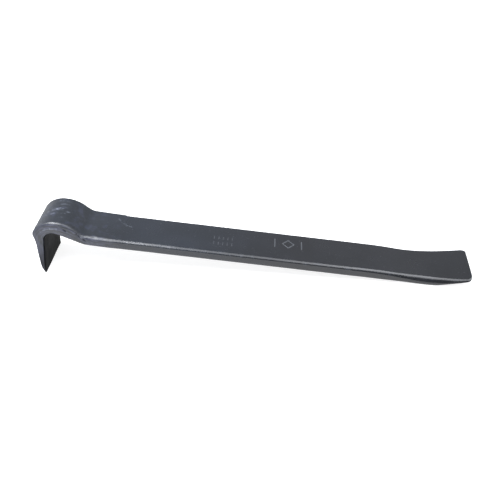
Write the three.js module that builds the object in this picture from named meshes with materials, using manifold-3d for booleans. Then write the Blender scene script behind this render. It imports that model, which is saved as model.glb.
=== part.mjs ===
// Flat pry bar, forged from one length of flat steel stock.
// Millimetres, +Z up. The bar stands as it lies on a bench: on the edge of its hook and on the
// heel of its chisel. The hook is toward -X and the chisel toward +X; Y is the width.
import * as THREE from "three";
import Module from "manifold-3d";

// ---- stock and shank
const STOCK_WIDTH = 38;
const STOCK_THICKNESS = 9.5;
// The near top edge at distances along the bar: how far its rounding reaches across the top and
// down the side. It is small at the hook and rolls widest at the chisel.
const ROLLED_EDGE = [
  [35, 1.2, 1.2],
  [50, 1.6, 1.6],
  [62, 1.6, 1.6],
  [72, 2.6, 1.8],
  [95, 3.2, 2],
  [300, 3.2, 2],
  [355, 3.4, 2.8],
  [383, 4.6, 4.6],
  [405, 3.8, 3.8],
  [425, 2.4, 2.4],
];
const FAR_EDGE_RADIUS = 1.5;
const UNDER_EDGE_RADIUS = 1.8;
const EDGE_POWER = 4 / 3; // above 1, the rounding is flatter than an ellipse
const TOP_DROP = 0.62; // share of the thickness that a rounded top edge may take
const UNDER_DROP = 0.3;
const SHANK_SLOPE = 5.9; // degrees down toward the chisel
const SHANK_TOP_AT_HOOK = 44.35; // height of the top plane above the hook's cutting edge
const SHANK_START = 74; // distances from the hook's cutting edge along X
const SHANK_END = 290;

// ---- hook: radii and turns of the back and crown, going from the shank to the cutting edge
const NECK_START = 43;
const NECK_SLOPE = 7.6; // the forged end climbs a little faster than the shank
const NECK_BLEND_RADIUS = 10;
const NECK_STEEPEST = 45; // degrees
const NECK_FLANK = 5;
const SHOULDER_RADIUS = 25;
const SHOULDER_SPLIT = 29; // degrees of the shoulder that lie over the neck
const CROWN_RADIUS = 22.8;
const CROWN_TURN = 55.7;
const BACK_RADIUS = 7;
const BACK_LEAN = 11; // degrees past upright at the top of the leg
const LEG_BACK_BLEND_RADIUS = 60;
const LEG_BEVEL_RADIUS = 17;
const LEG_BEVEL_HEIGHT = 9;
const LEG_BEVEL_TURN = 28;

// ---- hook: the throat side
const NECK_UNDERSIDE_SLOPE = 23.6;
const NECK_CORNER_RADIUS = 6;
const THROAT_RADIUS = 8.6;
const THROAT_CENTRE = [14, 33.6];
const LEG_INNER_TAPER = 8.1; // degrees off upright
const HOOK_EDGE_THICKNESS = 1;

// ---- half widths along the hook
const HOOK_EDGE_HALF_WIDTH = 22.3;
const LEG_TOP_HALF_WIDTH = 19.6;
const KNUCKLE_HALF_WIDTH = 19.6;
const FORGED_HALF_WIDTH = 19.8;
const SPREAD = 0.09; // the inside of the bend is upset outward, so the knuckle's sides lean
const SPREAD_AT = 56; // distance along the bar from the cutting edge
const SPREAD_REACH = 17;
const SPREAD_RIDGE = -0.1; // depth of the widest line, from 1 on the outside to -1 in the throat
const RIDGE_GAP = 0.04; // share of the thickness between that line and the rounded edge above
const NECK_WIDTHS = [
  [58, FORGED_HALF_WIDTH],
  [68, FORGED_HALF_WIDTH],
  [71, 19.2],
  [SHANK_START, STOCK_WIDTH / 2],
];

// ---- chisel
const DIP_RADIUS = 250;
const DIP_TURN = 3.2;
const DIP_FLANK = 14;
const UPTURN_RADIUS = 205;
const UPTURN = 16.3;
const HEEL_RADIUS = 170;
const BEVEL_BLEND_RADIUS = 24;
const BEVEL_ANGLE = 13.5;
const CHISEL_END = 378.9;
const CHISEL_HALF_WIDTH = 21.2;
const FLARE_START = 318;
const TIP_THICKNESS = 3.2;
const TIP_NOSE = 4; // length over which the top rolls down to the tip
const CORNER_RADIUS = 4.2;
const SKEW_START = 371;
const END_SKEW = 1; // the far corner stands this much ahead of the middle, the near one behind

// ---- generic stamped marks on the shank: two rows of dashes, then a lozenge between two bars
const STAMP_DEPTH = 0.3;
const STAMP_WIDTH = 1.1;
const DASH_ROWS = [2.2, -5.4];
const DASH_AT = [151, 155, 159, 163, 167];
const DASH_HEIGHT = 3;
const BAR_AT = [205, 229];
const BAR_Y = [-1, 9.6];
const LOZENGE = { x: 217, y: 4.3, reach: 5.2 };

const CORNER_STEPS = 5;
const CHISEL_STEPS = 36;
const STEEL = new THREE.MeshStandardMaterial({ color: 0x42464f, roughness: 0.42, metalness: 0.6 });

const radians = THREE.MathUtils.degToRad;
const lerp = THREE.MathUtils.lerp;

// Follows lines and arcs from a point. A positive turn is to the left of the way travelled.
function trace([x, z], heading, moves) {
  const points = [[x, z]];
  let angle = radians(heading);
  for (const { line, radius, turn } of moves) {
    if (line !== undefined) {
      x += line * Math.cos(angle);
      z += line * Math.sin(angle);
      points.push([x, z]);
      continue;
    }
    const side = Math.sign(turn);
    const steps = Math.max(2, Math.ceil(Math.abs(turn) / 4));
    for (let i = 0; i < steps; i += 1) {
      const next = angle + radians(turn) / steps;
      x += side * radius * (Math.sin(next) - Math.sin(angle));
      z -= side * radius * (Math.cos(next) - Math.cos(angle));
      angle = next;
      points.push([x, z]);
    }
  }
  return points;
}

// Evenly spaced points along a polyline, ends included.
function spaced(points, count) {
  const reach = [0];
  for (let i = 1; i < points.length; i += 1) {
    const [a, b] = [points[i - 1], points[i]];
    reach.push(reach[i - 1] + Math.hypot(b[0] - a[0], b[1] - a[1]));
  }
  const found = [];
  for (let n = 0, i = 1; n <= count; n += 1) {
    const at = (reach.at(-1) * n) / count;
    while (i < points.length - 1 && reach[i] < at) i += 1;
    const f = (at - reach[i - 1]) / (reach[i] - reach[i - 1]);
    found.push([0, 1].map((k) => lerp(points[i - 1][k], points[i][k], f)));
  }
  return found;
}

const slope = Math.tan(radians(SHANK_SLOPE));
const shankTop = (x) => [x, SHANK_TOP_AT_HOOK - slope * x];
const shankBottom = (x) => [x, shankTop(x)[1] - STOCK_THICKNESS / Math.cos(radians(SHANK_SLOPE))];
const neckSlope = Math.tan(radians(NECK_SLOPE));
const onNeck = ([, z], x) => [x, z + neckSlope * (SHANK_START - x)];
const neckTopAt = (x) => onNeck(shankTop(SHANK_START), x);
const neckBottomAt = (x) => onNeck(shankBottom(SHANK_START), x);
const neckHeading = 180 - NECK_SLOPE;

// One cross-section of the bar: outer and inner points of the side profile and a half width.
const stations = [];

function addZone(outer, inner, count, halfWidth, skipFirst = true) {
  const a = spaced(outer, count);
  const b = spaced(inner, count);
  for (let i = skipFirst ? 1 : 0; i <= count; i += 1) {
    stations.push({ outer: a[i], inner: b[i], half: halfWidth(i / count) });
  }
}

const ease = (f) => f * f * (3 - 2 * f);

function hookStations() {
  const blendTurn = NECK_STEEPEST - NECK_SLOPE;
  const neckTop = trace(neckTopAt(NECK_START), neckHeading, [
    { radius: NECK_BLEND_RADIUS, turn: -blendTurn },
    { line: NECK_FLANK },
    { radius: SHOULDER_RADIUS, turn: SHOULDER_SPLIT },
  ]);
  const heading = 180 - NECK_STEEPEST + SHOULDER_SPLIT;
  const rest = NECK_STEEPEST - SHOULDER_SPLIT;
  const crown = trace(neckTop.at(-1), heading, [
    { radius: SHOULDER_RADIUS, turn: rest },
    { radius: CROWN_RADIUS, turn: CROWN_TURN },
    { radius: BACK_RADIUS, turn: 90 + BACK_LEAN - CROWN_TURN },
    { radius: LEG_BACK_BLEND_RADIUS, turn: -BACK_LEAN / 2 },
  ]);
  const legBack = trace(crown.at(-1), 270 + BACK_LEAN / 2, [
    { radius: LEG_BACK_BLEND_RADIUS, turn: -BACK_LEAN / 2 },
  ]);
  const upright = legBack.at(-1);
  const bevelTop = [upright[0], LEG_BEVEL_HEIGHT];
  legBack.push(...trace(bevelTop, 270, [{ radius: LEG_BEVEL_RADIUS, turn: LEG_BEVEL_TURN }]));
  legBack.push([-HOOK_EDGE_THICKNESS / 2, 0]);

  const lean = radians(NECK_UNDERSIDE_SLOPE);
  const [cx, cz] = THROAT_CENTRE;
  const throatStart = [cx + THROAT_RADIUS * Math.sin(lean), cz + THROAT_RADIUS * Math.cos(lean)];
  const throatTurn = 90 - LEG_INNER_TAPER + NECK_UNDERSIDE_SLOPE;
  const throat = trace(throatStart, 180 - NECK_UNDERSIDE_SLOPE, [
    { radius: THROAT_RADIUS, turn: throatTurn },
  ]);
  const rise = Math.tan(lean);
  const cornerX = (throatStart[1] + rise * throatStart[0] - neckBottomAt(0)[1]) / (rise - neckSlope);
  const corner = radians(NECK_UNDERSIDE_SLOPE - NECK_SLOPE);
  const cut = NECK_CORNER_RADIUS * Math.tan(corner / 2) * Math.cos(radians(NECK_SLOPE));
  const neckUnder = trace(neckBottomAt(cornerX + cut), neckHeading, [
    { radius: NECK_CORNER_RADIUS, turn: NECK_SLOPE - NECK_UNDERSIDE_SLOPE },
  ]);
  neckUnder.unshift(neckBottomAt(NECK_START + 3));
  neckUnder.push(throatStart);
  const legFront = [throat.at(-1), [HOOK_EDGE_THICKNESS / 2, 0]];

  const flare = (f) => lerp(LEG_TOP_HALF_WIDTH, HOOK_EDGE_HALF_WIDTH, Math.cos((f * Math.PI) / 2));
  const knuckle = (f) => lerp(LEG_TOP_HALF_WIDTH, KNUCKLE_HALF_WIDTH, f);
  const neck = (f) => lerp(KNUCKLE_HALF_WIDTH, FORGED_HALF_WIDTH, f);
  addZone(legBack.reverse(), legFront.reverse(), 14, flare, false);
  addZone(crown.reverse(), throat.reverse(), 26, knuckle);
  addZone(neckTop.reverse(), neckUnder.reverse(), 18, neck);
}

// Height of a polyline that runs toward +X.
function heightAt(points, x) {
  const i = Math.max(1, points.findIndex((p) => p[0] >= x));
  const [a, b] = [points[i - 1], points[i]];
  return lerp(a[1], b[1], (x - a[0]) / (b[0] - a[0]));
}

function chiselStations() {
  const top = trace(shankTop(SHANK_END), -SHANK_SLOPE, [
    { radius: DIP_RADIUS, turn: -DIP_TURN },
    { line: DIP_FLANK },
    { radius: UPTURN_RADIUS, turn: UPTURN },
    { line: 60 },
  ]);
  const heelDrop = HEEL_RADIUS * (1 - Math.cos(radians(SHANK_SLOPE)));
  const heelStart = (shankBottom(0)[1] - heelDrop) / slope;
  const bottom = [shankBottom(SHANK_END)];
  bottom.push(
    ...trace(shankBottom(heelStart), -SHANK_SLOPE, [
      { radius: HEEL_RADIUS, turn: SHANK_SLOPE },
      { radius: BEVEL_BLEND_RADIUS, turn: BEVEL_ANGLE },
      { line: 60 },
    ]),
  );
  const straight = CHISEL_END - CORNER_RADIUS;
  const xs = [];
  for (let i = 0; i < CHISEL_STEPS; i += 1) {
    xs.push(lerp(SHANK_END, straight, i / CHISEL_STEPS));
  }
  for (let i = 0; i <= 6; i += 1) {
    xs.push(straight + CORNER_RADIUS * Math.sin((i * Math.PI) / 12));
  }
  const tipBottom = heightAt(bottom, CHISEL_END);
  for (const x of xs) {
    const flare = THREE.MathUtils.clamp((x - FLARE_START) / (CHISEL_END - 8 - FLARE_START), 0, 1);
    const inCorner = Math.max(0, x - straight);
    const lost = CORNER_RADIUS - Math.sqrt(Math.max(0, CORNER_RADIUS ** 2 - inCorner ** 2));
    const nose = THREE.MathUtils.clamp((x - CHISEL_END + TIP_NOSE) / TIP_NOSE, 0, 1);
    const z = heightAt(top, x);
    const cutback = nose ** 2 * (heightAt(top, CHISEL_END) - tipBottom - TIP_THICKNESS);
    stations.push({
      outer: [x, z - cutback],
      inner: [x, heightAt(bottom, x)],
      half: lerp(STOCK_WIDTH / 2, CHISEL_HALF_WIDTH, ease(flare)) - lost,
    });
  }
}

function shankStations() {
  for (const [x, half] of NECK_WIDTHS) {
    stations.push({ outer: neckTopAt(x), inner: neckBottomAt(x), half });
  }
}

// Share by which a side stands wider at a depth, 1 on the outside of the bend and -1 in the throat.
function leanAt(depth) {
  const above = depth > SPREAD_RIDGE;
  const share = (depth - SPREAD_RIDGE) / (above ? 1 - SPREAD_RIDGE : 1 + SPREAD_RIDGE);
  return above ? 0.28 - 0.55 * share : 0.28 + 0.5 * share;
}

// Reach and drop of the rolled edge at a distance along the bar.
function rolledAt(along) {
  const i = ROLLED_EDGE.findIndex(([at]) => at > along);
  if (i < 1) {
    return ROLLED_EDGE.at(i).slice(1);
  }
  const [before, after] = [ROLLED_EDGE[i - 1], ROLLED_EDGE[i]];
  const f = (along - before[0]) / (after[0] - before[0]);
  return [1, 2].map((k) => lerp(before[k], after[k], f));
}

// Reach and drop of one of the four long edges.
function edgeSize(far, top, along, thickness) {
  const [reach, drop] = rolledAt(along);
  if (top && !far) {
    return [reach, Math.min(drop, TOP_DROP * thickness)];
  }
  const radius = Math.min(reach, top ? FAR_EDGE_RADIUS : UNDER_EDGE_RADIUS);
  return [radius, Math.min(radius, UNDER_DROP * thickness)];
}

// Rounded rectangle between the outer and inner points of a station, as a closed ring.
function ring({ outer, inner, half, along }) {
  const thickness = Math.hypot(outer[0] - inner[0], outer[1] - inner[1]);
  const up = [(outer[0] - inner[0]) / thickness, (outer[1] - inner[1]) / thickness];
  const middle = [(outer[0] + inner[0]) / 2, (outer[1] + inner[1]) / 2];
  const spread = SPREAD * Math.exp(-(((along - SPREAD_AT) / SPREAD_REACH) ** 2));
  const points = [];
  const askew = ease(THREE.MathUtils.clamp((outer[0] - SKEW_START) / (CHISEL_END - SKEW_START), 0, 1));
  const place = (y, v) => {
    const wide = y * (1 + spread * leanAt((2 * v) / thickness));
    const ahead = (askew * END_SKEW * y) / CHISEL_HALF_WIDTH;
    points.push([middle[0] + up[0] * v + ahead, wide, middle[1] + up[1] * v]);
  };
  for (let corner = 0; corner < 4; corner += 1) {
    const sideY = corner === 0 || corner === 3 ? 1 : -1;
    const sideV = corner < 2 ? 1 : -1;
    const [reach, drop] = edgeSize(sideY > 0, sideV > 0, along, thickness);
    for (let i = 0; i <= CORNER_STEPS; i += 1) {
      const step = corner % 2 === 1 ? CORNER_STEPS - i : i;
      const angle = (step / CORNER_STEPS) * (Math.PI / 2);
      const y = half - reach + reach * Math.cos(angle) ** EDGE_POWER;
      const v = thickness / 2 - drop + drop * Math.sin(angle) ** EDGE_POWER;
      place(sideY * y, sideV * v);
    }
    if (corner % 2 === 1) {
      const [, near] = edgeSize(sideY > 0, true, along, thickness);
      const ridge = Math.min((SPREAD_RIDGE * thickness) / 2, (0.5 - RIDGE_GAP) * thickness - near);
      place(sideY * half, ridge);
    }
  }
  return points;
}

function loft(rings) {
  const size = rings[0].length;
  const index = [];
  for (let i = 0; i + 1 < rings.length; i += 1) {
    for (let k = 0; k < size; k += 1) {
      const [a, b] = [i * size + k, i * size + ((k + 1) % size)];
      index.push(a, b, a + size, b, b + size, a + size);
    }
  }
  const last = (rings.length - 1) * size;
  for (let k = 1; k + 1 < size; k += 1) {
    index.push(0, k + 1, k);
    index.push(last, last + k, last + k + 1);
  }
  const geometry = new THREE.BufferGeometry();
  geometry.setAttribute("position", new THREE.Float32BufferAttribute(rings.flat(2), 3));
  geometry.setIndex(index);
  return geometry;
}

const { Manifold, Mesh } = await Module().then((wasm) => (wasm.setup(), wasm));

function toManifold(geometry) {
  const mesh = new Mesh({
    numProp: 3,
    vertProperties: new Float32Array(geometry.getAttribute("position").array),
    triVerts: new Uint32Array(geometry.getIndex().array),
  });
  mesh.merge();
  return new Manifold(mesh);
}

function fromManifold(solid) {
  const { vertProperties, triVerts } = solid.getMesh();
  const geometry = new THREE.BufferGeometry();
  geometry.setAttribute("position", new THREE.BufferAttribute(vertProperties, 3));
  geometry.setIndex(new THREE.BufferAttribute(triVerts, 1));
  return geometry;
}

// A closed prism that sinks one stroke, from a to b, STAMP_DEPTH into the top of the shank.
function strokeCutter([a, b]) {
  const [ux, uy] = [b[0] - a[0], b[1] - a[1]].map((d) => d / Math.hypot(b[0] - a[0], b[1] - a[1]));
  const [sx, sy] = [(-uy * STAMP_WIDTH) / 2, (ux * STAMP_WIDTH) / 2];
  const outline = [
    [a[0] - sx, a[1] - sy],
    [b[0] - sx, b[1] - sy],
    [b[0] + sx, b[1] + sy],
    [a[0] + sx, a[1] + sy],
  ];
  const rings = [-STAMP_DEPTH, 2].map((h) => outline.map(([x, y]) => [x, y, shankTop(x)[1] + h]));
  return toManifold(loft(rings));
}

function stampStrokes() {
  const strokes = [];
  for (const y of DASH_ROWS) {
    for (const x of DASH_AT) {
      strokes.push([[x, y - DASH_HEIGHT / 2], [x, y + DASH_HEIGHT / 2]]);
    }
  }
  for (const x of BAR_AT) {
    strokes.push([[x, BAR_Y[0]], [x, BAR_Y[1]]]);
  }
  const corners = [0, 1, 2, 3, 4].map((i) => {
    const angle = (i * Math.PI) / 2;
    return [
      LOZENGE.x + LOZENGE.reach * Math.cos(angle),
      LOZENGE.y + LOZENGE.reach * Math.sin(angle),
    ];
  });
  for (let i = 0; i < 4; i += 1) {
    strokes.push([corners[i], corners[i + 1]]);
  }
  return strokes;
}

hookStations();
shankStations();
chiselStations();

stations.forEach((station, i) => {
  const before = stations[Math.max(0, i - 1)];
  const step = [0, 1].map((k) => station.outer[k] + station.inner[k] - before.outer[k] - before.inner[k]);
  station.along = (before.along ?? 0) + Math.hypot(...step) / 2;
});

let solid = toManifold(loft(stations.map(ring)));
for (const stroke of stampStrokes()) {
  solid = solid.subtract(strokeCutter(stroke));
}
const bar = new THREE.Mesh(fromManifold(solid), STEEL);
bar.name = "forged_bar";
bar.geometry.computeBoundingBox();
const { min, max } = bar.geometry.boundingBox;
bar.geometry.translate(-(min.x + max.x) / 2, 0, -min.z);
bar.geometry.computeVertexNormals();

const prybar = new THREE.Group();
prybar.name = "pry_bar";
prybar.add(bar);

export default prybar;
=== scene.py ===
import math

import bpy
import numpy as np
from mathutils import Matrix, Vector, noise


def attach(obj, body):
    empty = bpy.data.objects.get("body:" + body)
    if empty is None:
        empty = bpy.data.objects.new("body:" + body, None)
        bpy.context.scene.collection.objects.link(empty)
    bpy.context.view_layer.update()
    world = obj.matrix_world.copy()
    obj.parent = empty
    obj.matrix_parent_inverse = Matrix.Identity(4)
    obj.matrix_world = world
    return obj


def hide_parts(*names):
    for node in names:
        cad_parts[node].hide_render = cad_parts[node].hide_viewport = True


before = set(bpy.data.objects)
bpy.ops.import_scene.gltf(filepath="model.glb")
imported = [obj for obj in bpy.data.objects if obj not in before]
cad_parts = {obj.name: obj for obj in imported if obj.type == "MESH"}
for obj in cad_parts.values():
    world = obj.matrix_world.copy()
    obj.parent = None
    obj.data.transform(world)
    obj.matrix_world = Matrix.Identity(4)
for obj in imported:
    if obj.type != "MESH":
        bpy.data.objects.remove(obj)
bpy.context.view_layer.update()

# The bar is laid out in millimetres from the hook's cutting edge (x = 0, z = 0 on the floor) and
# moved into the row frame, in metres, at the end.

# ---- stock and shank
STOCK_WIDTH = 38
STOCK_THICKNESS = 9.5
# The near top edge at distances along the bar: how far its rounding reaches across the top and
# down the side. It is small at the hook and rolls widest at the chisel.
ROLLED_EDGE = (
    (35, 1.2, 1.2),
    (50, 1.6, 1.6),
    (62, 1.6, 1.6),
    (72, 2.6, 1.8),
    (95, 3.2, 2),
    (300, 3.2, 2),
    (355, 3.4, 2.8),
    (383, 4.6, 4.6),
    (405, 3.8, 3.8),
    (425, 2.4, 2.4),
)
FAR_EDGE_RADIUS = 1.5
UNDER_EDGE_RADIUS = 1.8
EDGE_POWER = 4 / 3  # above 1, the rounding is flatter than an ellipse
TOP_DROP = 0.62  # share of the thickness that a rounded top edge may take
UNDER_DROP = 0.3
SHANK_SLOPE = 5.9
SHANK_TOP_AT_HOOK = 44.35
SHANK_START = 74
SHANK_END = 290
FAR_NARROWS = (68, 3)  # from where, and over what length, the forged width narrows to the stock's
NEAR_NARROWS = (54, 22)

# ---- hook
NECK_START = 43
NECK_SLOPE = 7.6
NECK_BLEND_RADIUS = 10
NECK_STEEPEST = 45
NECK_FLANK = 5
SHOULDER_RADIUS = 25
SHOULDER_SPLIT = 29
CROWN_RADIUS = 22.8
CROWN_TURN = 55.7
BACK_RADIUS = 7
BACK_LEAN = 11
LEG_BACK_BLEND_RADIUS = 60
LEG_BEVEL_RADIUS = 17
LEG_BEVEL_HEIGHT = 9
LEG_BEVEL_TURN = 28
NECK_UNDERSIDE_SLOPE = 23.6
NECK_CORNER_RADIUS = 6
THROAT_RADIUS = 8.6
THROAT_CENTRE = (14, 33.6)
LEG_INNER_TAPER = 8.1
HOOK_EDGE_THICKNESS = 1
HOOK_EDGE_HALF_WIDTH = 22.3
LEG_TOP_HALF_WIDTH = 19.6
FORGED_HALF_WIDTH = 19.8
SPREAD = 0.09  # the metal of the bend is upset outward, so the knuckle's sides lean
SPREAD_AT = 56
SPREAD_REACH = 17
SPREAD_RIDGE = -0.1  # share of the half thickness, from the middle, where the sides stand proudest
SPREAD_AT_RIDGE, SPREAD_FALL_ABOVE, SPREAD_FALL_BELOW = 0.28, 0.55, 0.5

# ---- chisel
DIP_RADIUS = 250
DIP_TURN = 3.2
DIP_FLANK = 14
UPTURN_RADIUS = 205
UPTURN = 16.3
HEEL_RADIUS = 170
BEVEL_BLEND_RADIUS = 24
BEVEL_ANGLE = 13.5
CHISEL_END = 378.9
CHISEL_HALF_WIDTH = 21.2
FLARE_START = 318
FLARE_END = CHISEL_END - 8
TIP_THICKNESS = 3.2
TIP_NOSE = 4
CORNER_RADIUS = 4.2
SKEW_START = 371
END_SKEW = 1  # the far corner stands this much ahead of the middle, the near one behind

# ---- generic stamped marks
DASH_ROWS = (2.2, -5.4)
DASH_AT = (151, 155, 159, 163, 167)
DASH_HEIGHT = 3
BAR_AT = (205, 229)
BAR_Y = (-1, 9.6)
LOZENGE_X, LOZENGE_Y, LOZENGE_REACH = 217, 4.3, 5.2
STAMP_REACH = 0.62  # half the width of a stroke
STAMP_DEPTH = 0.3
STAMP_MARGIN = 3  # finely meshed length beyond the marks

# ---- mesh density: spacing along the bar in millimetres, and points round a section
COARSE, FINE = 1.2, 0.4
LEG_STEPS, CROWN_STEPS, NECK_STEPS = 50, 100, 60
CHISEL_CORNER_POINTS = 14
ROUND = 6
ROLLED = 10
UP_SIDE = 12
ACROSS_BOTTOM = 24
STAMPED_BAND = (0.66, -0.46)  # shares of the half width between which the top is stamped
FAR_POINTS, STAMPED_POINTS, NEAR_POINTS = 8, 62, 14

CAMERA_TARGET = (-0.0049, 0, 0.01706)
CAMERA_ELEVATION = 40
CAMERA_AZIMUTH = 2.78
CAMERA_ROLL = 0.33
CAMERA_DISTANCE = 0.52776
CAMERA_LENS = 42.24
CAMERA_NEAREST = 0.01


def trace(start, heading, moves):
    """Points along lines (length, None) and arcs (radius, turn in degrees, left positive)."""
    degrees_a_step = 1.5
    x, z = start
    points = [(x, z)]
    angle = math.radians(heading)
    for size, turn in moves:
        if turn is None:
            x += size * math.cos(angle)
            z += size * math.sin(angle)
            points.append((x, z))
            continue
        side = math.copysign(1, turn)
        steps = max(3, math.ceil(abs(turn) / degrees_a_step))
        for _ in range(steps):
            ahead = angle + math.radians(turn) / steps
            x += side * size * (math.sin(ahead) - math.sin(angle))
            z -= side * size * (math.cos(ahead) - math.cos(angle))
            angle = ahead
            points.append((x, z))
    return points


def spaced(points, count):
    """count + 1 evenly spaced points along a polyline, ends included."""
    p = np.array(points, float)
    travelled = np.concatenate([[0], np.cumsum(np.hypot(*np.diff(p, axis=0).T))])
    stops = np.linspace(0, travelled[-1], count + 1)
    return np.stack([np.interp(stops, travelled, p[:, k]) for k in (0, 1)], axis=1)


def tan(degrees):
    return math.tan(math.radians(degrees))


def shank_top(x):
    return (x, SHANK_TOP_AT_HOOK - tan(SHANK_SLOPE) * x)


def shank_bottom(x):
    return (x, shank_top(x)[1] - STOCK_THICKNESS / math.cos(math.radians(SHANK_SLOPE)))


def neck_top(x):
    return (x, shank_top(SHANK_START)[1] + tan(NECK_SLOPE) * (SHANK_START - x))


def neck_bottom(x):
    return (x, shank_bottom(SHANK_START)[1] + tan(NECK_SLOPE) * (SHANK_START - x))


outer, inner, half_width, near_width = [], [], [], []


def add_zone(upper, lower, widths, near=None, skip_first=True):
    """Append stations: outer and inner profile points, and half widths of the far and near side."""
    first = 1 if skip_first else 0
    outer.extend(upper[first:])
    inner.extend(lower[first:])
    half_width.extend(widths[first:])
    near_width.extend((widths if near is None else near)[first:])


def hook_zones():
    over = trace(
        neck_top(NECK_START),
        180 - NECK_SLOPE,
        [
            (NECK_BLEND_RADIUS, NECK_SLOPE - NECK_STEEPEST),
            (NECK_FLANK, None),
            (SHOULDER_RADIUS, SHOULDER_SPLIT),
        ],
    )
    crown = trace(
        over[-1],
        180 - NECK_STEEPEST + SHOULDER_SPLIT,
        [
            (SHOULDER_RADIUS, NECK_STEEPEST - SHOULDER_SPLIT),
            (CROWN_RADIUS, CROWN_TURN),
            (BACK_RADIUS, 90 + BACK_LEAN - CROWN_TURN),
            (LEG_BACK_BLEND_RADIUS, -BACK_LEAN / 2),
        ],
    )
    back = trace(crown[-1], 270 + BACK_LEAN / 2, [(LEG_BACK_BLEND_RADIUS, -BACK_LEAN / 2)])
    back += trace((back[-1][0], LEG_BEVEL_HEIGHT), 270, [(LEG_BEVEL_RADIUS, LEG_BEVEL_TURN)])
    back.append((-HOOK_EDGE_THICKNESS / 2, 0))

    lean = math.radians(NECK_UNDERSIDE_SLOPE)
    start = (
        THROAT_CENTRE[0] + THROAT_RADIUS * math.sin(lean),
        THROAT_CENTRE[1] + THROAT_RADIUS * math.cos(lean),
    )
    turn = 90 - LEG_INNER_TAPER + NECK_UNDERSIDE_SLOPE
    throat = trace(start, 180 - NECK_UNDERSIDE_SLOPE, [(THROAT_RADIUS, turn)])
    rise = math.tan(lean)
    corner_x = (start[1] + rise * start[0] - neck_bottom(0)[1]) / (rise - tan(NECK_SLOPE))
    half_turn = math.radians(NECK_UNDERSIDE_SLOPE - NECK_SLOPE) / 2
    cut = NECK_CORNER_RADIUS * math.tan(half_turn) * math.cos(math.radians(NECK_SLOPE))
    under_start = NECK_START + 3  # the last section of the bend leans forward to here
    under = [neck_bottom(under_start)]
    under += trace(
        neck_bottom(corner_x + cut),
        180 - NECK_SLOPE,
        [(NECK_CORNER_RADIUS, NECK_SLOPE - NECK_UNDERSIDE_SLOPE)],
    )
    under.append(start)
    front = [throat[-1], (HOOK_EDGE_THICKNESS / 2, 0)]

    def zone(upper, lower, count, widths, skip_first=True):
        f = np.linspace(0, 1, count + 1)
        upper, lower = spaced(upper[::-1], count), spaced(lower[::-1], count)
        add_zone(upper, lower, widths(f), skip_first=skip_first)

    def leg_width(f):
        flare = HOOK_EDGE_HALF_WIDTH - LEG_TOP_HALF_WIDTH
        return LEG_TOP_HALF_WIDTH + flare * np.cos(f * np.pi / 2)

    def crown_width(f):
        return LEG_TOP_HALF_WIDTH + 0 * f

    def neck_width(f):
        return LEG_TOP_HALF_WIDTH + (FORGED_HALF_WIDTH - LEG_TOP_HALF_WIDTH) * f

    zone(back, front, LEG_STEPS, leg_width, False)
    zone(crown, throat, CROWN_STEPS, crown_width)
    zone(over, under, NECK_STEPS, neck_width)


def ease(f):
    f = np.clip(f, 0, 1)
    return f * f * (3 - 2 * f)


def shank_zone():
    """From the neck to the chisel, closer together where the top is stamped."""
    stretches = [
        (NECK_START + 2, DASH_AT[0] - STAMP_MARGIN, COARSE),
        (DASH_AT[0] - STAMP_MARGIN, DASH_AT[-1] + STAMP_MARGIN, FINE),
        (DASH_AT[-1] + STAMP_MARGIN, BAR_AT[0] - STAMP_MARGIN, COARSE),
        (BAR_AT[0] - STAMP_MARGIN, BAR_AT[1] + STAMP_MARGIN, FINE),
        (BAR_AT[1] + STAMP_MARGIN, SHANK_END - 0.5, COARSE),
    ]
    xs = np.concatenate([np.arange(*stretch) for stretch in stretches])
    top = np.array([neck_top(x) if x < SHANK_START else shank_top(x) for x in xs])
    bottom = np.array([neck_bottom(x) if x < SHANK_START else shank_bottom(x) for x in xs])

    def narrowed(start, length):
        return FORGED_HALF_WIDTH + (STOCK_WIDTH / 2 - FORGED_HALF_WIDTH) * ease((xs - start) / length)

    add_zone(top, bottom, narrowed(*FAR_NARROWS), narrowed(*NEAR_NARROWS))


def chisel_zone():
    run_out = (60, None)  # past the chisel's end, where both lines are cut off
    top = trace(
        shank_top(SHANK_END),
        -SHANK_SLOPE,
        [(DIP_RADIUS, -DIP_TURN), (DIP_FLANK, None), (UPTURN_RADIUS, UPTURN), run_out],
    )
    heel_drop = HEEL_RADIUS * (1 - math.cos(math.radians(SHANK_SLOPE)))
    heel_start = (shank_bottom(0)[1] - heel_drop) / tan(SHANK_SLOPE)
    bottom = [shank_bottom(SHANK_END)] + trace(
        shank_bottom(heel_start),
        -SHANK_SLOPE,
        [(HEEL_RADIUS, SHANK_SLOPE), (BEVEL_BLEND_RADIUS, BEVEL_ANGLE), run_out],
    )
    straight = CHISEL_END - CORNER_RADIUS
    arc = straight + CORNER_RADIUS * np.sin(np.linspace(0, np.pi / 2, CHISEL_CORNER_POINTS))
    xs = np.concatenate([np.arange(SHANK_END, straight, COARSE), arc])
    z_top = np.interp(xs, *np.array(top).T)
    z_bottom = np.interp(xs, *np.array(bottom).T)
    surplus = z_top[-1] - z_bottom[-1] - TIP_THICKNESS
    z_top = z_top - surplus * np.clip((xs - CHISEL_END + TIP_NOSE) / TIP_NOSE, 0, 1) ** 2
    inside = np.clip(xs - straight, 0, CORNER_RADIUS)
    lost = CORNER_RADIUS - np.sqrt(CORNER_RADIUS**2 - inside**2)
    flare = (CHISEL_HALF_WIDTH - STOCK_WIDTH / 2) * ease((xs - FLARE_START) / (FLARE_END - FLARE_START))
    widths = STOCK_WIDTH / 2 + flare - lost
    add_zone(np.stack([xs, z_top], 1), np.stack([xs, z_bottom], 1), widths, skip_first=False)


hook_zones()
shank_zone()
chisel_zone()
outer, inner = np.array(outer), np.array(inner)

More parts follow.
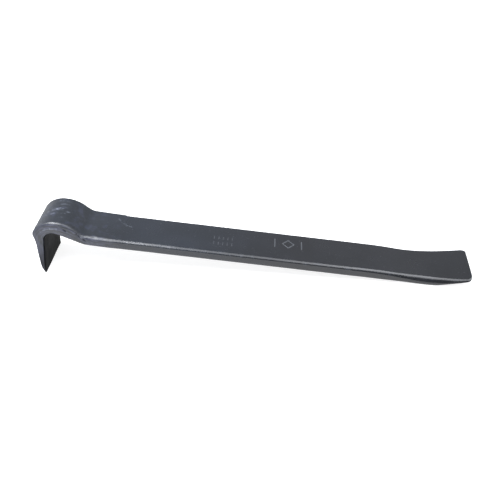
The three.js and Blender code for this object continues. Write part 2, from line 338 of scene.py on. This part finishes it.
# Places across the top from the far edge to the near one, closer together where it is stamped.
across = np.concatenate(
    [
        np.linspace(1, STAMPED_BAND[0], FAR_POINTS)[:-1],
        np.linspace(*STAMPED_BAND, STAMPED_POINTS)[:-1],
        np.linspace(STAMPED_BAND[1], -1, NEAR_POINTS),
    ]
)


def section(far, near, thickness, reach, drop):
    """(y, v) round one cross-section: top, near corner, near side, bottom, far side."""
    under, beyond = min(reach, UNDER_EDGE_RADIUS), min(reach, FAR_EDGE_RADIUS)
    near_drop = min(drop, TOP_DROP * thickness)
    far_drop = min(beyond, UNDER_DROP * thickness)
    under_drop = min(under, UNDER_DROP * thickness)
    near_top, far_top = thickness / 2 - near_drop, thickness / 2 - far_drop
    bottom = under_drop - thickness / 2
    points = [(y * (far - beyond if y > 0 else near - reach), thickness / 2) for y in across]

    def corner(cy, cv, width, height, start, steps=ROUND):
        for a in np.radians(np.linspace(start, start + 90, steps + 1))[1:]:
            c, s = math.cos(a), math.sin(a)
            y = math.copysign(abs(c) ** EDGE_POWER, c)
            v = math.copysign(abs(s) ** EDGE_POWER, s)
            points.append((cy + width * y, cv + height * v))

    corner(reach - near, near_top, reach, near_drop, 90, ROLLED)
    points.extend((-near, v) for v in np.linspace(near_top, bottom, UP_SIDE)[1:])
    corner(under - near, bottom, under, under_drop, 180)
    below = np.linspace(under - near, far - under, ACROSS_BOTTOM)[1:]
    points.extend((y, -thickness / 2) for y in below)
    corner(far - under, bottom, under, under_drop, 270)
    points.extend((far, v) for v in np.linspace(bottom, far_top, UP_SIDE)[1:])
    corner(far - beyond, far_top, beyond, far_drop, 0)
    return np.array(points[:-1])


along = np.concatenate([[0], np.cumsum(np.hypot(*np.diff((outer + inner) / 2, axis=0).T))])
thick = np.hypot(*(outer - inner).T)
up = (outer - inner) / thick[:, None]
middle = (outer + inner) / 2
edge_places, *edge_sizes = np.array(ROLLED_EDGE).T
rolled = [np.interp(along, edge_places, size) for size in edge_sizes]
sections = np.array([section(*sizes) for sizes in zip(half_width, near_width, thick, *rolled)])

# The sides of the knuckle stand out at a ridge along them and lean away above and below it.
bulge = np.exp(-(((along - SPREAD_AT) / SPREAD_REACH) ** 2))[:, None]
depth = sections[:, :, 1] / (thick[:, None] / 2)
above = depth > SPREAD_RIDGE
share = np.abs(depth - SPREAD_RIDGE) / np.where(above, 1 - SPREAD_RIDGE, 1 + SPREAD_RIDGE)
widened = SPREAD_AT_RIDGE - np.where(above, SPREAD_FALL_ABOVE, SPREAD_FALL_BELOW) * share
sections[:, :, 0] *= 1 + SPREAD * bulge * widened

verts = np.empty(sections.shape[:2] + (3,))
verts[:, :, 0] = middle[:, None, 0] + up[:, None, 0] * sections[:, :, 1]
verts[:, :, 1] = sections[:, :, 0]
askew = ease((outer[:, 0] - SKEW_START) / (CHISEL_END - SKEW_START))[:, None]
verts[:, :, 0] += askew * END_SKEW * sections[:, :, 0] / CHISEL_HALF_WIDTH
verts[:, :, 2] = middle[:, None, 1] + up[:, None, 1] * sections[:, :, 1]

# Outward direction at each point; the rings run from the hook to the chisel, far edge to near.
around = np.roll(verts, -1, axis=1) - np.roll(verts, 1, axis=1)
normals = np.cross(np.gradient(verts, axis=0), around)
normals /= np.maximum(np.linalg.norm(normals, axis=2, keepdims=True), 1e-9)
centre = np.stack([middle[:, 0], 0 * middle[:, 0], middle[:, 1]], axis=1)[:, None]
if np.mean(np.sum(normals * (verts - centre), axis=2)) < 0:
    normals = -normals

run = np.broadcast_to(along[:, None], depth.shape)
side = sections[:, :, 0]
top_face = np.zeros(depth.shape)
top_face[:, : len(across)] = 1


def wave(places, scale, seed):
    """Smooth noise at each of the places, about -1 to 1. Each seed looks at another part of it."""
    finer_fades, finer_scale, octaves = 0.6, 2.0, 2
    shift = Vector((seed * 17.3, seed * 5.1, seed * 11.7))
    flat = (places / np.broadcast_to(scale, 3)).reshape(-1, 3)
    found = [noise.fractal(Vector(p) + shift, finer_fades, finer_scale, octaves) for p in flat]
    return np.array(found).reshape(places.shape[:2])


def near_line(places, ends):
    """Distance from a line between two places, and how far along it, 0 to 1."""
    a, b = (np.array(end, float) for end in ends)
    t = np.clip(np.sum((places - a) * (b - a), axis=2) / np.sum((b - a) ** 2), 0, 1)
    return np.linalg.norm(places - (a + t[..., None] * (b - a)), axis=2), t


def bump_profile(distance, reach):
    """1 at no distance, falling along a parabola to 0 at the reach."""
    return np.clip(1 - (distance / reach) ** 2, 0, 1)


# ---- forged surface: slow waves, stronger where the hammer shaped it
FORGED_END, FORGED_FADE = 95, 25
forged = np.clip(1 - (run - FORGED_END) / FORGED_FADE, 0, 1)
height = wave(verts, 22, 1) * (0.08 + 0.14 * forged)
height += wave(verts, 5, 2) * (0.012 + 0.045 * forged)

# Flow lines follow the bend along the sides of the hook. Laid flat, the bar is straight: distance
# along it, across it, and up from its middle.
FLOW_LINE_HEIGHT = 0.14
on_side = np.clip(np.abs(normals[:, :, 1]) * 1.6 - 0.6, 0, 1)
laid_flat = np.stack([run, side, depth * thick[:, None] / 2], axis=2)
height += on_side * forged * wave(laid_flat, (16, 40, 1.4), 3) * FLOW_LINE_HEIGHT

# A bead stands along the knuckle's sides, where the metal was upset.
BEAD_HEIGHT, BEAD_REACH, BEAD_AT = 0.4, 0.9, 0.2  # the last is a share of the half thickness
bead = bump_profile((depth - BEAD_AT) * thick[:, None] / 2, BEAD_REACH)
fade = np.exp(-(((run - SPREAD_AT) / (0.6 * SPREAD_REACH)) ** 2))
height += BEAD_HEIGHT * bead * on_side * fade

# ---- generic stamped marks, in plan
plan = verts[:, :, :2]
on_top = top_face * (normals[:, :, 2] > 0.3)
strokes = [((x, y - DASH_HEIGHT / 2), (x, y + DASH_HEIGHT / 2)) for y in DASH_ROWS for x in DASH_AT]
strokes += [((x, BAR_Y[0]), (x, BAR_Y[1])) for x in BAR_AT]
corners = [
    (LOZENGE_X + LOZENGE_REACH * math.cos(a), LOZENGE_Y + LOZENGE_REACH * math.sin(a))
    for a in (i * math.pi / 2 for i in range(5))
]
strokes += zip(corners[:-1], corners[1:])
stamped_and_highlit = np.zeros_like(height)
for ends in strokes:
    distance, _ = near_line(plan, ends)
    stamped_and_highlit = np.maximum(stamped_and_highlit, bump_profile(distance, STAMP_REACH))
stamped_and_highlit *= on_top
height -= STAMP_DEPTH * stamped_and_highlit
# The stamped marks are painted pale, a painted highlight where their walls would catch the light.
DASH_HIGHLIGHT_SHARE = 0.4  # the dashes show less pale than the other marks
stamped_and_highlit *= np.where(plan[:, :, 0] < DASH_AT[-1] + STAMP_MARGIN, DASH_HIGHLIGHT_SHARE, 1)

# ---- knocks: two round dimples and a curved scratch on the neck, in plan
DIMPLES = ((45.4, -5.5), (49.7, -5.4))
DIMPLE_DEPTH, DIMPLE_REACH = 0.22, 1.1
CURVED_SCRATCH = ((64, 12), (68, 7.6), (72, 4.6), (77.7, 2.8))
SCRATCH_DEPTH, SCRATCH_REACH, SCRATCH_PALE = 0.1, 0.9, 0.2
scuff_and_highlight = np.zeros_like(height)
for x, y in DIMPLES:
    distance = np.hypot(plan[:, :, 0] - x, plan[:, :, 1] - y)
    height -= DIMPLE_DEPTH * bump_profile(distance, DIMPLE_REACH) * on_top
for ends in zip(CURVED_SCRATCH[:-1], CURVED_SCRATCH[1:]):
    distance, _ = near_line(plan, ends)
    height -= SCRATCH_DEPTH * bump_profile(distance, SCRATCH_REACH) * on_top
    scuff_and_highlight = np.maximum(scuff_and_highlight, SCRATCH_PALE * bump_profile(distance, 0.8) * on_top)

# Deep knocks on the neck's near side, painted dark inside as painted shade, laid flat: start, length
# and depth.
KNOCKS = (
    ((79, -19.4, 3.8), 3, 0.8),
    ((85.5, -19.4, 1.6), 2.5, 0.7),
    ((90, -19.2, 3), 2, 0.4),
    ((66, -20.4, 2.6), 2.5, 0.4),
)
knock_shade_mask = np.zeros_like(height)
for start, length, size in KNOCKS:
    end = (start[0] + length, start[1] + 0.8, start[2] - 1)
    distance, _ = near_line(laid_flat, (start, end))
    height -= size * bump_profile(distance, 1.3)
    knock_shade_mask = np.maximum(knock_shade_mask, bump_profile(distance, 1.1))

# Small nicks along the near edge of the knuckle.
NICKS = 16
nick_y = -FORGED_HALF_WIDTH - 1
rng = np.random.default_rng(7)
edge_run = along[np.searchsorted(middle[:, 0], (34, 60))]
for _ in range(NICKS):
    place = rng.uniform(edge_run[0] - 6, edge_run[1])
    lean, length, size = rng.uniform(-3, 3), rng.uniform(1.5, 4), rng.uniform(0.1, 0.3)
    start = (place, nick_y, rng.uniform(1, 5))
    end = (place + lean, nick_y + length, start[2])
    distance, _ = near_line(laid_flat, (start, end))
    height -= size * bump_profile(distance, 1.5)

# ---- scuffs on the crown of the knuckle: start and end on the top laid flat, reach and strength
CROWN_SCUFFS = (
    ((50.5, -1), (58, 2.2), 0.8, 1),
    ((57, 2), (60, 2.6), 0.8, 0.8),
    ((55, 13), (59, 15.6), 0.7, 0.5),
    ((49, -7), (58.5, -4.5), 0.6, 0.4),
)
FAINT_SCUFFS = 22


def scratch(start, end, reach, strength):
    distance, t = near_line(laid_flat[:, :, :2], (start, end))
    mark = bump_profile(distance, reach) * np.sin(np.pi * np.clip(t, 0.1, 0.9))
    np.maximum(scuff_and_highlight, strength * mark * top_face, out=scuff_and_highlight)


for mark in CROWN_SCUFFS:
    scratch(*mark)
for _ in range(FAINT_SCUFFS):
    x, y = rng.uniform(42, 62), rng.uniform(-15, 15)
    length, lean = rng.uniform(2, 7), rng.uniform(-0.2, 0.6)
    scratch((x, y), (x + length, y + lean * length), rng.uniform(0.4, 0.8), rng.uniform(0.1, 0.45))

# A painted highlight along the bead on the near side of the bend, and pale lines behind the knocks on
# the neck: start and end as distance along the bar and height above its middle, reach and strength.
PALE_SIDE_LINES = (
    ((46, 0.6), (61, 0.8), 0.8, 0.9),
    ((88, -0.4), (97, -0.8), 0.8, 0.4),
    ((82, 3.4), (85, 2.6), 0.7, 0.6),
)
for start, end, wide, strength in PALE_SIDE_LINES:
    distance, t = near_line(laid_flat[:, :, ::2], (start, end))
    mark = bump_profile(distance, wide) * np.sin(np.pi * np.clip(t, 0.15, 0.85))
    scuff_and_highlight = np.maximum(scuff_and_highlight, strength * mark * on_side * (side < 0))

verts = verts + normals * height[..., None]

# ---- mesh
rows, cols = verts.shape[:2]
points = verts.reshape(-1, 3)
faces = []
for i in range(rows - 1):
    for j in range(cols):
        a, b = i * cols + j, i * cols + (j + 1) % cols
        faces.append((a, b, b + cols, a + cols))
faces.append(list(range(cols))[::-1])
faces.append([(rows - 1) * cols + j for j in range(cols)])
low, high = points.min(0), points.max(0)
to_row_frame = np.array([-(low[0] + high[0]) / 2, 0, -low[2]])
points = (points + to_row_frame) / 1000

mesh = bpy.data.meshes.new("forged_bar_surface")
mesh.from_pydata(points.tolist(), [], faces)
mesh.update()
bar = bpy.data.objects.new("forged_bar_surface", mesh)
bpy.context.scene.collection.objects.link(bar)
mesh.shade_smooth()
SHARP_ANGLE = 50
mesh.set_sharp_from_angle(angle=math.radians(SHARP_ANGLE))


def attribute(name, values):
    layer = mesh.attributes.new(name, "FLOAT", "POINT")
    layer.data.foreach_set("value", np.asarray(values, np.float32).reshape(-1))


# The throat, the foot of the hook and the knocks are painted dark and dull as painted shade, and so,
# less, are the roundings of the far top edge and the near lower one.
THROAT_END, FOOT_END, FOOT_FADE = 85, 34, 26
FOOT_SHADE, KNOCK_SHADE, RIM_SHADE = 0.6, 0.8, 0.4
outward = normals[:, :, 0] * up[:, None, 0] + normals[:, :, 2] * up[:, None, 1]
in_throat = (outward < -0.3) * (run < THROAT_END)
on_foot = ease((FOOT_END - run) / FOOT_FADE)


def rim_facing(sideways, upward):
    """1 on the rounding of a long edge, from how far a place faces sideways and upward."""
    return ease((sideways - 0.1) / 0.3) * ease((upward - 0.2) / 0.3)


rims = np.maximum(rim_facing(normals[:, :, 1], outward), rim_facing(-normals[:, :, 1], -outward))
painted_shade = np.maximum(in_throat, FOOT_SHADE * on_foot)
painted_shade = np.maximum(painted_shade, np.maximum(KNOCK_SHADE * knock_shade_mask, RIM_SHADE * rims))

# Paint rubs thin on the long edges.
beside = np.where(side > 0, np.array(half_width)[:, None], np.array(near_width)[:, None])
edges = bump_profile(np.abs(side) - beside + 1, 2.4) * (np.abs(depth) > 0.5)
GREYER_FROM, GREYER_OVER = 170, 110  # the coating turns from bluish to grey towards the chisel
attribute("stamped_and_highlit", stamped_and_highlit)
attribute("scuff_and_highlight", scuff_and_highlight)
attribute("painted_shade", painted_shade)
attribute("edge", edges)
attribute("chisel", ease((run - GREYER_FROM) / GREYER_OVER))
attribute("forged", forged)
attribute("back", np.clip((-normals[:, :, 0] - 0.2) / 0.4, 0, 1) * forged)
attribute("side", on_side * forged)
attribute("streak", wave(laid_flat, (11, 40, 0.8), 4))


# ---- material: where a look has two colours, they are mixed in soft clouds
BLUE_COAT = (0.0066, 0.0083, 0.0112), (0.0084, 0.0105, 0.0148)
GREY_COAT = (0.0048, 0.0052, 0.0064), (0.0062, 0.0067, 0.0084)
STREAK_COLOUR = (0.028, 0.030, 0.048)
MOTTLE_COLOUR = (0.018, 0.021, 0.036)
# painted shade for the throat, the foot, the knocks and two edge roundings
SHADE_COLOUR = (0.0045, 0.0048, 0.0055)
THIN_COLOUR = (0.045, 0.052, 0.068)
# pale scuffs, and the painted highlight along the knuckle's bead
SCUFF_AND_HIGHLIGHT_COLOUR = (0.15, 0.165, 0.20)
# painted highlight in the stamped marks
STAMP_HIGHLIGHT_COLOUR = (0.085, 0.09, 0.1)
SPECK_COLOUR = (0.05, 0.052, 0.06)
RANGE_INPUTS = ("From Min", "From Max", "To Min", "To Max")


def smooth_range(tree, source, *limits):
    """A smooth change, between two values of the source, from one result to another."""
    n = tree.nodes.new("ShaderNodeMapRange")
    n.interpolation_type = "SMOOTHSTEP"
    for socket, value in zip(RANGE_INPUTS, limits):
        n.inputs[socket].default_value = value
    tree.links.new(source, n.inputs["Value"])
    return n.outputs["Result"]


def steel_material():
    material = bpy.data.materials.new("coated_steel")
    material.use_nodes = True
    tree = material.node_tree
    nodes, links = tree.nodes, tree.links
    shader = nodes["Principled BSDF"]
    shader.inputs["Specular IOR Level"].default_value = 0.5
    coords = nodes.new("ShaderNodeTexCoord")

    def grain(scale, detail, rough=0.5):
        n = nodes.new("ShaderNodeTexNoise")
        n.inputs["Scale"].default_value = scale
        n.inputs["Detail"].default_value = detail
        n.inputs["Roughness"].default_value = rough
        links.new(coords.outputs["Object"], n.inputs["Vector"])
        return n.outputs["Fac"]

    def surface(name):
        n = nodes.new("ShaderNodeAttribute")
        n.attribute_name = name
        return n.outputs["Fac"]

    def spread(source, low, high, to_low=0.0, to_high=1.0):
        return smooth_range(tree, source, low, high, to_low, to_high)

    def calc(operation, *terms):
        n = nodes.new("ShaderNodeMath")
        n.operation = operation
        for socket, term in zip(n.inputs, terms):
            if isinstance(term, (int, float)):
                socket.default_value = term
            else:
                links.new(term, socket)
        return n.outputs["Value"]

    def blend(fac, a, b):
        n = nodes.new("ShaderNodeMix")
        n.data_type = "RGBA"
        links.new(fac, n.inputs[0])
        for socket, term in ((n.inputs[6], a), (n.inputs[7], b)):
            if isinstance(term, tuple):
                socket.default_value = term + (1,)
            else:
                links.new(term, socket)
        return n.outputs[2]

    def bump(height, strength, distance):
        n = nodes.new("ShaderNodeBump")
        n.inputs["Strength"].default_value = strength
        n.inputs["Distance"].default_value = distance
        links.new(height, n.inputs["Height"])
        return n

    cloud = spread(grain(28, 4), 0.3, 0.7)
    blue = blend(cloud, *BLUE_COAT)
    grey = blend(cloud, *GREY_COAT)
    colour = blend(surface("chisel"), blue, grey)
    streaks = calc("MULTIPLY", surface("side"), spread(surface("streak"), -0.3, 0.4))
    colour = blend(streaks, colour, STREAK_COLOUR)
    mottle = calc("MULTIPLY", surface("forged"), spread(grain(120, 3, 0.6), 0.5, 0.7))
    colour = blend(calc("MULTIPLY", mottle, 0.6), colour, MOTTLE_COLOUR)
    # Painted shade: the throat, the foot, the knocks and two edge roundings are darkened.
    colour = blend(surface("painted_shade"), colour, SHADE_COLOUR)
    thin = calc("MULTIPLY", surface("edge"), spread(grain(170, 5, 0.65), 0.5, 0.68))
    colour = blend(calc("MULTIPLY", thin, 0.2), colour, THIN_COLOUR)
    # Pale scuffs and scratches, and a painted highlight along the bead on the knuckle's near side.
    pale_scuffs_and_highlight = calc("MULTIPLY", surface("scuff_and_highlight"), spread(grain(420, 3), 0.36, 0.6))
    colour = blend(pale_scuffs_and_highlight, colour, SCUFF_AND_HIGHLIGHT_COLOUR)
    # Painted highlight in the stamped marks.
    colour = blend(calc("MULTIPLY", surface("stamped_and_highlit"), 0.55), colour, STAMP_HIGHLIGHT_COLOUR)
    speck = spread(grain(900, 2), 0.69, 0.74)
    colour = blend(calc("MULTIPLY", speck, 0.5), colour, SPECK_COLOUR)
    links.new(colour, shader.inputs["Base Color"])

    rough = spread(grain(60, 5), 0.3, 0.7, 0.2, 0.28)
    bend = calc("MULTIPLY", surface("edge"), surface("forged"))
    for place, added in (
        (surface("painted_shade"), 0.5),
        (pale_scuffs_and_highlight, 0.18),
        (thin, 0.05),
        (surface("forged"), 0.08),
        (surface("back"), 0.3),
        (bend, 0.1),
    ):
        rough = calc("ADD", rough, calc("MULTIPLY", place, added))
    links.new(rough, shader.inputs["Roughness"])
    # The painted shade is also made metallic, so that its dark colour reflects little.
    links.new(calc("MULTIPLY", surface("painted_shade"), 0.85), shader.inputs["Metallic"])

    fine = bump(grain(900, 3, 0.6), 0.10, 0.0003)
    slow = bump(grain(150, 3), 0.05, 0.001)
    links.new(fine.outputs["Normal"], slow.inputs["Normal"])
    links.new(slow.outputs["Normal"], shader.inputs["Normal"])
    return material


mesh.materials.append(steel_material())
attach(bar, "root")
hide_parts("forged_bar")

# ---- floor: pale paper that glows, so that it stays white under the bar
FLOOR_HALF_SIZE = 4
PAPER = {
    "Base Color": (0.35, 0.35, 0.35, 1),
    "Roughness": 0.9,
    "Specular IOR Level": 0,
    "Emission Color": (1, 1, 1, 1),
    "Emission Strength": 0.85,
}


def paper_floor():
    corners = [(x, y, 0) for x, y in ((-1, -1), (1, -1), (1, 1), (-1, 1))]
    floor_mesh = bpy.data.meshes.new("floor")
    floor_mesh.from_pydata((FLOOR_HALF_SIZE * np.array(corners)).tolist(), [], [(0, 1, 2, 3)])
    paper = bpy.data.materials.new("paper")
    paper.use_nodes = True
    for socket, value in PAPER.items():
        paper.node_tree.nodes["Principled BSDF"].inputs[socket].default_value = value
    floor_mesh.materials.append(paper)
    sheet = bpy.data.objects.new("floor", floor_mesh)
    bpy.context.scene.collection.objects.link(sheet)
    return sheet


floor = paper_floor()

# ---- lamps: place, what they face, size in metres and radiance
COOL = (0.96, 0.98, 1.03)
PANELS = (
    ("overhead_left", (-0.62, -0.3, 1.2), (-0.62, -0.1, 0), (0.75, 0.8), 27),
    ("overhead_middle", (0.06, -0.3, 1.2), (0.06, -0.1, 0), (0.6, 0.8), 4),
    ("overhead_right", (0.66, -0.3, 1.2), (0.66, -0.1, 0), (0.6, 0.8), 8),
    ("front_left", (-0.64, -1.4, 0.78), (-0.3, 0, 0), (0.95, 1.5), 1.1),
    ("left_fill", (-1.7, -0.2, 0.9), (0, 0, 0), (1.4, 1.0), 2),
    ("right_fill", (1.7, -0.2, 0.9), (0, 0, 0), (1.4, 1.0), 2),
)


def panel(name, place, towards, size, radiance):
    lamp = bpy.data.lights.new(name, "AREA")
    lamp.shape = "RECTANGLE"
    lamp.size, lamp.size_y = size
    lamp.energy = radiance * math.pi * size[0] * size[1]
    lamp.color = COOL
    holder = bpy.data.objects.new(name, lamp)
    holder.location = place
    direction = Vector(towards) - Vector(place)
    holder.rotation_euler = direction.to_track_quat("-Z", "Y").to_euler()
    bpy.context.scene.collection.objects.link(holder)


for lamp in PANELS:
    panel(*lamp)

# ---- walls of the studio: dim in front of the bar, pale behind it
WALL_COLOUR = (0.95, 0.98, 1.04, 1)
DIM, PALE = 0.26, 0.78
DIM_END, PALE_START = -0.3, 0.5  # how far a direction points backward, where the change starts and ends


def studio_world():
    world = bpy.data.worlds.new("studio")
    world.use_nodes = True
    tree = world.node_tree
    coords = tree.nodes.new("ShaderNodeTexCoord")
    split = tree.nodes.new("ShaderNodeSeparateXYZ")
    tree.links.new(coords.outputs["Generated"], split.inputs["Vector"])
    level = smooth_range(tree, split.outputs["Y"], DIM_END, PALE_START, DIM, PALE)
    background = tree.nodes["Background"]
    background.inputs["Color"].default_value = WALL_COLOUR
    tree.links.new(level, background.inputs["Strength"])
    return world


bpy.context.scene.world = studio_world()
bpy.context.scene.view_settings.view_transform = "Standard"

# ---- camera
elevation, azimuth = math.radians(CAMERA_ELEVATION), math.radians(-CAMERA_AZIMUTH)
forward = Vector(
    (
        math.sin(azimuth) * math.cos(elevation),
        math.cos(azimuth) * math.cos(elevation),
        -math.sin(elevation),
    )
)
right = Vector((math.cos(azimuth), -math.sin(azimuth), 0))
down = forward.cross(right)
roll = math.radians(CAMERA_ROLL)
x_axis = math.cos(roll) * right - math.sin(roll) * down
y_axis = -(math.sin(roll) * right + math.cos(roll) * down)
camera = bpy.data.objects.new("camera", bpy.data.cameras.new("camera"))
camera.data.lens = CAMERA_LENS
camera.data.clip_start = CAMERA_NEAREST
facing = Matrix((x_axis, y_axis, -forward)).transposed()
stand = Vector(CAMERA_TARGET) - forward * CAMERA_DISTANCE
camera.matrix_world = Matrix.Translation(stand) @ facing.to_4x4()
bpy.context.scene.collection.objects.link(camera)
bpy.context.scene.camera = camera
